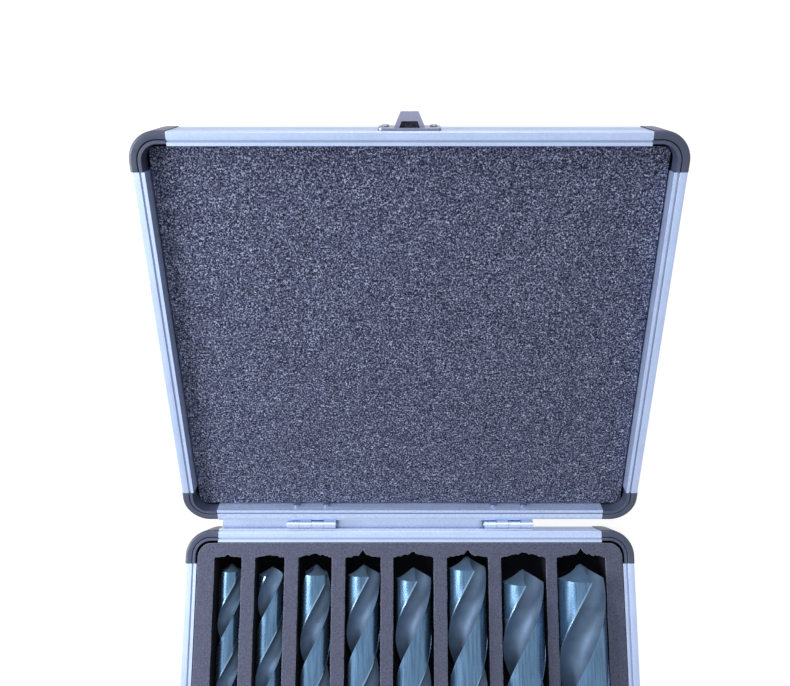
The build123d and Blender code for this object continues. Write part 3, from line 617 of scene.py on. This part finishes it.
class CASE_OT_corner_caps(bpy.types.Operator):
    """Finish the eight moulded corner caps"""

    bl_idname = "drillcase.corner_caps"
    bl_label = "Corner caps"

    def execute(self, context):
        scene = context.scene
        moulded = plastic_finish(
            "moulded_cap",
            scene.case_colours.cap,
            roughness=0.42,
            grain_size=1800.0,
            grain_depth=0.00004,
        )
        names = ("base_corner", "lid_corner")
        dress_all(names, moulded, scene.case_sizes.plastic_edge)
        return {"FINISHED"}


class CASE_OT_panels(bpy.types.Operator):
    """Finish the two panels in a lightly stippled black sheet"""

    bl_idname = "drillcase.panels"
    bl_label = "Panels"

    def execute(self, context):
        scene = context.scene
        sheet = plastic_finish(
            "stippled_panel",
            scene.case_colours.panel,
            roughness=0.36,
            grain_size=1100.0,
            grain_depth=0.00006,
            specular=0.3,
        )
        names = ("base_panel", "lid_panel")
        dress_all(names, sheet, scene.case_sizes.metal_edge)
        return {"FINISHED"}


class CASE_OT_hinges(bpy.types.Operator):
    """Finish the hinges, their rivets and the stop strips"""

    bl_idname = "drillcase.hinges"
    bl_label = "Hinges and stop strips"

    def execute(self, context):
        scene = context.scene
        plated = metal_finish(
            "plated_hinge",
            scene.case_colours.plating,
            roughness=0.3,
            grain_size=3000.0,
            metallic=0.9,
            shelter=0.3,
            # how light the painted shade in the hollows stays
            shade_tone=0.15,
        )
        names = ("hinge", "base_stop", "lid_stop")
        dress_all(names, plated, scene.case_sizes.metal_edge, FITTING_BROAD_FACE)
        return {"FINISHED"}


class CASE_OT_latch(bpy.types.Operator):
    """Finish the toggle latch and its catch"""

    bl_idname = "drillcase.latch"
    bl_label = "Latch"

    def execute(self, context):
        scene = context.scene
        plated = metal_finish(
            "plated_latch",
            scene.case_colours.latch,
            roughness=0.4,
            grain_size=1500.0,
            metallic=0.8,
            shelter=0.36,
            # how light the painted shade in the hollows stays
            shade_tone=0.02,
        )
        dress_all(("latch",), plated, scene.case_sizes.metal_edge, FITTING_BROAD_FACE)
        return {"FINISHED"}


# ---------------------------------------------------------------- foam

FOAM_STEP = 0.9 * MM
SPONGE_CORNER = 3.5 * MM
TRAY_CORNER = 7 * MM
NEAR = 0.1 * MM
GAP_EASE = 0.2 * MM
POCKET_REAR_BORDER = 7.6 * MM
LINER_EDGE = 0.3 * MM
SPIRE_HALF_WIDTH = 2.6 * MM

# each pocket's rear end: the rise of its arch in mm, and of the spire torn in the middle of it
POCKET_PEAKS = (
    (0.9, 0.5),
    (1.2, 0.2),
    (2.0, 0.7),
    (1.4, 2.8),
    (2.2, 1.2),
    (1.8, 3.0),
    (2.6, 0.4),
    (2.4, 2.9),
)


class CASE_OT_sponge(bpy.types.Operator):
    """Make the lid's coarse sponge"""

    bl_idname = "drillcase.sponge"
    bl_label = "Lid sponge"

    def execute(self, context):
        scene = context.scene
        sizes = scene.case_sizes
        low, high = closed_box("lid_foam")
        columns = stations((low.x, high.x), FOAM_STEP)
        rows = stations((low.y, high.y), FOAM_STEP)
        mesh = uneven_grid(columns, rows)
        round_corners(mesh, high.x, high.y, SPONGE_CORNER)
        for vertex in mesh.verts:
            vertex.co.z = high.z
        thicken(mesh, high.z - low.z)
        for vertex in mesh.verts:
            if vertex.co.z < (low.z + high.z) / 2:
                place = vertex.co / sizes.sponge_cell
                crumb = noise.noise(place * 0.75) + 0.5 * noise.noise(place * 1.5)
                swell = noise.noise(vertex.co / (40 * MM))
                dent = math.exp(-(((vertex.co.x - 84 * MM) / (3 * MM)) ** 2))
                dent *= math.exp(-(((vertex.co.y - 12 * MM) / (28 * MM)) ** 2))
                rise = sizes.sponge_relief * (crumb + swell) + 0.5 * MM * dent
                vertex.co.z += max(0.0, rise + sizes.sponge_relief)
        mesh.transform(LID_OPEN)
        sponge = as_piece(
            mesh,
            "lid_sponge",
            "lid",
            sponge_finish(scene.case_colours, sizes),
            ("lid_foam",),
            70.0,
        )
        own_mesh(sponge)
        return {"FINISHED"}


def pocket_boxes():
    """Each pocket as (left, right, front, rear), from its finger gap and the tray's rear border."""
    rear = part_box("base_foam_tray")[1].y - POCKET_REAR_BORDER
    boxes = []
    for opening in frame["record"]["physics"]["openings"]:
        start, end = opening["box_m"]
        boxes.append((start[0] - GAP_EASE, end[0] + GAP_EASE, start[1] - GAP_EASE, rear))
    return boxes


class CASE_OT_tray_foam(bpy.types.Operator):
    """Make the cut foam tray, with a torn peaked end to each pocket, and the sheet under it"""

    bl_idname = "drillcase.tray_foam"
    bl_label = "Foam tray"

    def execute(self, context):
        scene = context.scene
        sizes = scene.case_sizes
        low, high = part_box("base_foam_tray")
        pockets = pocket_boxes()
        edges = sorted(edge for pocket in pockets for edge in pocket[:2])
        front, rear = pockets[0][2:]
        columns = stations((low.x, *edges, high.x), FOAM_STEP)
        rows = stations((low.y, front, rear, high.y), FOAM_STEP)
        mesh = uneven_grid(columns, rows)
        cut_away = [
            face
            for face in mesh.faces
            if any(
                left < face.calc_center_median().x < right and near < face.calc_center_median().y < far
                for left, right, near, far in pockets
            )
        ]
        bmesh.ops.delete(mesh, geom=cut_away, context="FACES")
        round_corners(mesh, high.x, high.y, TRAY_CORNER)
        for vertex in mesh.verts:
            self.tear(vertex, pockets, high.y, sizes)
        for vertex in mesh.verts:
            vertex.co.z = high.z
        thicken(mesh, high.z - low.z)
        cut = mesh.faces.layers.float.new("cut")
        rim = [
            edge
            for edge in mesh.edges
            if len(edge.link_faces) == 2
            and edge.verts[0].co.z > high.z - NEAR
            and edge.verts[1].co.z > high.z - NEAR
            and edge.calc_face_angle(0.0) > math.radians(45)
        ]
        rounded = bmesh.ops.bevel(
            mesh,
            geom=rim,
            offset=sizes.tray_edge,
            offset_type="OFFSET",
            segments=2,
            profile=0.5,
            affect="EDGES",
            material=-1,
            clamp_overlap=True,
        )
        for face in rounded["faces"]:
            face[cut] = 1.0
        # painted shade: the steep pocket sides are marked to be drawn near black
        wall = mesh.faces.layers.float.new("wall")
        mesh.normal_update()
        for face in mesh.faces:
            if face[cut] == 0.0 and face.normal.z < 0.3:
                face[wall] = 1.0
        fine = tray_finish("cut_foam", scene.case_colours, 0.0005)
        tray = as_piece(mesh, "foam_tray", "base", fine, ("base_foam_tray",), 60.0)
        # painted shade: the sheet under the tray is marked all over to be drawn near black
        floor = dressed("base_foam_liner", fine, LINER_EDGE)
        shaded = floor.data.attributes.new("wall", "FLOAT", "FACE")
        shaded.data.foreach_set("value", [1.0] * len(floor.data.polygons))
        return {"FINISHED"}

    def tear(self, vertex, pockets, back, sizes):
        """Wander a pocket's cut sides, and draw its rear end out to a torn peak."""
        x, y = vertex.co.x, vertex.co.y
        for (left, right, front, rear), (arch, spire) in zip(pockets, POCKET_PEAKS):
            if left - NEAR < x < right + NEAR and y > rear - NEAR:
                share = (x - left) / (right - left)
                roof = max(0.0, 1 - abs(2 * share - 1))
                jag = noise.noise(Vector((x / (1.9 * MM), rear, 0.0)))
                jag += 0.7 * noise.noise(Vector((x / (0.9 * MM), rear, 7.0)))
                narrow = max(0.0, 1 - abs(x - (left + right) / 2) / SPIRE_HALF_WIDTH)
                peak = MM * (arch * roof**0.8 + spire * narrow**1.4)
                peak += sizes.ragged * jag * min(1.0, 5 * roof)
                vertex.co.y += peak * (back - y) / (back - rear)
            for edge in (left, right):
                if abs(x - edge) < NEAR and front + NEAR < y < rear - NEAR:
                    along = Vector((edge * 40, y / (9 * MM), 0.0))
                    close = Vector((edge * 40, y / (2.2 * MM), 4.0))
                    wander = noise.noise(along) + 0.5 * noise.noise(close)
                    vertex.co.x += sizes.tray_wander * wander


# ---------------------------------------------------------------- drills

SHANK_RADIUS = 6.35 * MM
FLUTE_START = 76.4 * MM
BIT_TURNS = (120, 43, 120, 82, 72, 78, 60, 74)
HELIX = math.radians(29.0)
HALF_POINT_ANGLE = math.radians(59.0)
WEB = 0.17
HOLLOW = 0.65
RUN_OUT = 16 * MM
FULL_WEB = 0.985
COLLAR_LENGTH = 6 * MM
DRILL_CHAMFER = 0.5 * MM
TAIL_CHAMFER = 1 * MM
SHANK_STEP = 8 * MM
FLUTE_STEP = 1.4 * MM
DRILL_WELD = 0.002 * MM
LAND_COLUMNS = 11
FLUTE_COLUMNS = 15


def drill_outline(radius, web, sizes):
    """One ring round a drill, as (x, y, on a land, on a margin) for each column."""
    flute = HOLLOW * radius
    offset = (web + HOLLOW) * radius
    opening = math.acos(min(1.0, (radius**2 + offset**2 - flute**2) / (2 * radius * offset)))
    hollow = math.acos(min(1.0, (offset**2 + flute**2 - radius**2) / (2 * offset * flute)))
    half_land = math.pi / 2 - opening
    margin = sizes.margin / radius
    ring = []
    for side in (0.0, math.pi):
        for step in range(LAND_COLUMNS):
            body = LAND_COLUMNS - 4
            if step < body:
                turn = -half_land + (2 * half_land - margin) * step / (body - 1)
                reach = radius - sizes.clearance * min(1.0, 1.2 * (1 - web))
            else:
                turn = half_land - margin * (1 - (step - body) / (LAND_COLUMNS - 1 - body))
                turn += 0.002
                reach = radius
            x, y = reach * math.cos(side + turn), reach * math.sin(side + turn)
            ring.append((x, y, True, step >= body))
        for step in range(1, FLUTE_COLUMNS + 1):
            turn = side - math.pi / 2 + hollow * (1 - 2 * step / (FLUTE_COLUMNS + 1))
            x = -math.sin(side) * offset + flute * math.cos(turn)
            y = math.cos(side) * offset + flute * math.sin(turn)
            ring.append((x, y, False, False))
    return ring


class CASE_OT_drills(bpy.types.Operator):
    """Make the eight reduced-shank twist drills"""

    bl_idname = "drillcase.drills"
    bl_label = "Drills"

    def execute(self, context):
        scene = context.scene
        oxided = drill_finish(scene.case_colours)
        for number in range(1, BIT_COUNT + 1):
            self.make_drill(f"drill_bit_{number}", BIT_TURNS[number - 1], oxided, scene.case_sizes)
        return {"FINISHED"}

    def make_drill(self, node, turn, material, sizes):
        """Turn a cylinder's rings into a shank, a collar and a fluted length with its point."""
        low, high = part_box(node)
        radius = (high.z - low.z) / 2
        length = high.y - low.y
        lead = 2 * math.pi * radius / math.tan(HELIX)
        shank = min(SHANK_RADIUS, radius)
        collar = FLUTE_START - COLLAR_LENGTH
        plain = stations((SHANK_STEP, collar - COLLAR_LENGTH), SHANK_STEP)
        heights = [0.0, TAIL_CHAMFER, *plain, collar]
        radii = [shank - TAIL_CHAMFER] + [shank] * (len(heights) - 1)
        heights += [collar + 0.01 * MM, collar + DRILL_CHAMFER, FLUTE_START - DRILL_CHAMFER]
        radii += [max(shank, radius - DRILL_CHAMFER), radius, radius]
        fluted = stations((FLUTE_START, length), FLUTE_STEP)
        columns = 2 * (LAND_COLUMNS + FLUTE_COLUMNS)
        count = len(heights) + len(fluted)
        mesh = bmesh.new()
        bmesh.ops.create_cone(mesh, cap_ends=True, segments=columns, radius1=1.0, radius2=1.0, depth=1.0)
        uprights = [edge for edge in mesh.edges if abs(edge.verts[0].co.z - edge.verts[1].co.z) > 0.5]
        bmesh.ops.subdivide_edges(mesh, edges=uprights, cuts=count - 2, use_grid_fill=False)
        land_layer = mesh.faces.layers.float.new("land")
        margin_layer = mesh.faces.layers.float.new("margin")
        spot = {}
        for vertex in mesh.verts:
            angle = math.atan2(vertex.co.y, vertex.co.x) % (2 * math.pi)
            column = round(angle * columns / (2 * math.pi)) % columns
            spot[vertex] = (column, round((vertex.co.z + 0.5) * (count - 1)))
        rings = []
        for height in fluted:
            rise = height - FLUTE_START
            fade = max(0.0, 1 - rise / RUN_OUT)
            rings.append(drill_outline(radius, WEB + (FULL_WEB - WEB) * fade**2, sizes))
        point = 1 / math.tan(HALF_POINT_ANGLE)
        tip_start = length - radius * point
        for face in mesh.faces:
            places = [spot[vertex] for vertex in face.verts]
            first = min(row for column, row in places) - len(heights)
            if len(places) > 4:
                face[land_layer] = 1.0 if first < 0 else 0.5
                face[margin_layer] = 0.0 if first < 0 else 0.3
                continue
            if first < 0:
                face[land_layer] = 1.0
                continue
            across = sorted(set(column for column, row in places))
            left = across[-1] if across[0] == 0 and across[-1] == columns - 1 else across[0]
            marks = [rings[first][column % columns] for column in (left, left + 1)]
            if marks[0][2] and marks[1][2]:
                face[land_layer] = 1.0
            if marks[0][3] and marks[1][3]:
                face[margin_layer] = 1.0
        for vertex, (column, row) in spot.items():
            if row < len(heights):
                x, y = rings[0][column][:2]
                height = heights[row]
                scale = radii[row] / math.hypot(x, y)
                x, y = x * scale, y * scale
                twist = turn + 360 * (FLUTE_START - length) / lead
            else:
                x, y = rings[row - len(heights)][column][:2]
                height = fluted[row - len(heights)]
                if height > tip_start:
                    goal = length - math.hypot(x, y) * point
                    height = tip_start + (goal - tip_start) * (height - tip_start) / (length - tip_start)
                twist = turn + 360 * (height - length) / lead
            turned = Vector((x, y, height))
            turned.rotate(Matrix.Rotation(math.radians(twist), 3, "Z"))
            vertex.co = turned
        self.close_point(mesh, length, point)
        laid_down = Matrix(((-1, 0, 0), (0, 0, 1), (0, 1, 0))).to_4x4()
        laid_down.translation = ((low.x + high.x) / 2, low.y, low.z + radius)
        mesh.transform(laid_down)
        bmesh.ops.remove_doubles(mesh, verts=mesh.verts, dist=DRILL_WELD)
        bmesh.ops.recalc_face_normals(mesh, faces=mesh.faces)
        as_piece(mesh, f"twist_drill_{node[-1]}", node, material, (node,), 35.0)

    def close_point(self, mesh, length, point):
        """Fill the fluted end with a fine cap that rises to the chisel point."""
        caps = [face for face in mesh.faces if len(face.verts) > 4]
        cap = max(caps, key=lambda face: face.calc_center_median().z)
        parts = bmesh.ops.triangulate(mesh, faces=[cap], quad_method="BEAUTY", ngon_method="BEAUTY")
        fresh = set(parts["faces"])
        for vertex in set(vertex for face in fresh for vertex in face.verts):
            vertex.co.z = length - math.hypot(vertex.co.x, vertex.co.y) * point
        inner = [edge for edge in parts["edges"] if fresh.issuperset(edge.link_faces)]
        split = bmesh.ops.subdivide_edges(mesh, edges=inner, cuts=3)
        for item in split["geom_split"]:
            if isinstance(item, bmesh.types.BMVert):
                item.co.z = length - math.hypot(item.co.x, item.co.y) * point


# ---------------------------------------------------------------- stage


class CASE_OT_stage(bpy.types.Operator):
    """Lay the pale floor, light it softly and set the camera"""

    bl_idname = "drillcase.stage"
    bl_label = "Stage"

    def execute(self, context):
        scene = context.scene
        mesh = bmesh.new()
        bmesh.ops.create_grid(mesh, x_segments=1, y_segments=1, size=3.0)
        data = bpy.data.meshes.new("floor")
        mesh.to_mesh(data)
        mesh.free()
        floor = bpy.data.objects.new("floor", data)
        scene.collection.objects.link(floor)
        data.materials.append(self.floor_material())
        world = bpy.data.worlds.new("studio")
        scene.world = world
        world.use_nodes = True
        tree = world.node_tree
        tree.nodes.clear()
        strength = unseen_or_seen(tree, 0.5, 1.0)
        sky = shade(tree, "ShaderNodeBackground", {"Color": (1, 1, 1, 1), "Strength": strength})
        shade(tree, "ShaderNodeOutputWorld", {"Surface": sky.outputs[0]})
        self.softbox("key", (-0.6, 0.12, 0.36), 4.6, 0.3)
        self.softbox("rear_fill", (0.0, 0.75, 0.75), 3.0, 0.5)
        lens = bpy.data.cameras.new("camera")
        lens.sensor_width = 36.0
        lens.lens = 30.88
        lens.shift_x = -0.0209
        camera = bpy.data.objects.new("camera", lens)
        camera.location = (0.00083, 0.14455, 0.39575)
        camera.rotation_euler = (math.radians(8.73), 0.0, 0.0)
        scene.collection.objects.link(camera)
        scene.camera = camera
        scene.view_settings.view_transform = "Standard"
        return {"FINISHED"}

    def softbox(self, name, place, power, size):
        """A square lamp that faces the middle of the case."""
        lamp = bpy.data.lights.new(name, "AREA")
        lamp.energy = power
        lamp.size = size
        holder = bpy.data.objects.new(name, lamp)
        holder.location = place
        aim = Vector((0.0, 0.05, 0.0)) - holder.location
        holder.rotation_euler = aim.to_track_quat("-Z", "Y").to_euler()
        bpy.context.scene.collection.objects.link(holder)

    def floor_material(self):
        """A white floor that keeps the case's shadow."""
        material = bpy.data.materials.new("floor")
        material.use_nodes = True
        tree = material.node_tree
        tree.nodes.clear()
        glow = unseen_or_seen(tree, 0.0, 0.9)
        lit = shade(tree, "ShaderNodeEmission", {"Color": (1, 1, 1, 1), "Strength": glow})
        matt = shade(tree, "ShaderNodeBsdfDiffuse", {"Color": (0.19, 0.19, 0.19, 1)})
        both = shade(tree, "ShaderNodeAddShader", {0: lit.outputs[0], 1: matt.outputs[0]})
        shade(tree, "ShaderNodeOutputMaterial", {"Surface": both.outputs[0]})
        return material


class CASE_PT_panel(bpy.types.Panel):
    """The case's pieces, finishes and sizes"""

    bl_label = "Drill bit case"
    bl_idname = "CASE_PT_panel"
    bl_space_type = "VIEW_3D"
    bl_region_type = "UI"
    bl_category = "Drill case"

    def draw(self, context):
        layout = self.layout
        for operator in OPERATORS:
            layout.operator(operator.bl_idname)
        for settings in (context.scene.case_sizes, context.scene.case_colours):
            column = layout.column()
            for key in settings.__annotations__:
                column.prop(settings, key)


OPERATORS = (
    CASE_OT_rails,
    CASE_OT_corner_caps,
    CASE_OT_panels,
    CASE_OT_hinges,
    CASE_OT_latch,
    CASE_OT_sponge,
    CASE_OT_tray_foam,
    CASE_OT_drills,
    CASE_OT_stage,
)


def register():
    for item in (CaseColours, CaseSizes, *OPERATORS, CASE_PT_panel):
        bpy.utils.register_class(item)
    bpy.types.Scene.case_colours = PointerProperty(type=CaseColours)
    bpy.types.Scene.case_sizes = PointerProperty(type=CaseSizes)


def unregister():
    del bpy.types.Scene.case_sizes
    del bpy.types.Scene.case_colours
    for item in reversed((CaseColours, CaseSizes, *OPERATORS, CASE_PT_panel)):
        bpy.utils.unregister_class(item)


def main():
    """Build the whole case."""
    register()
    for operator in OPERATORS:
        group, name = operator.bl_idname.split(".")
        getattr(getattr(bpy.ops, group), name)()


if __name__ == "__main__":
    main()
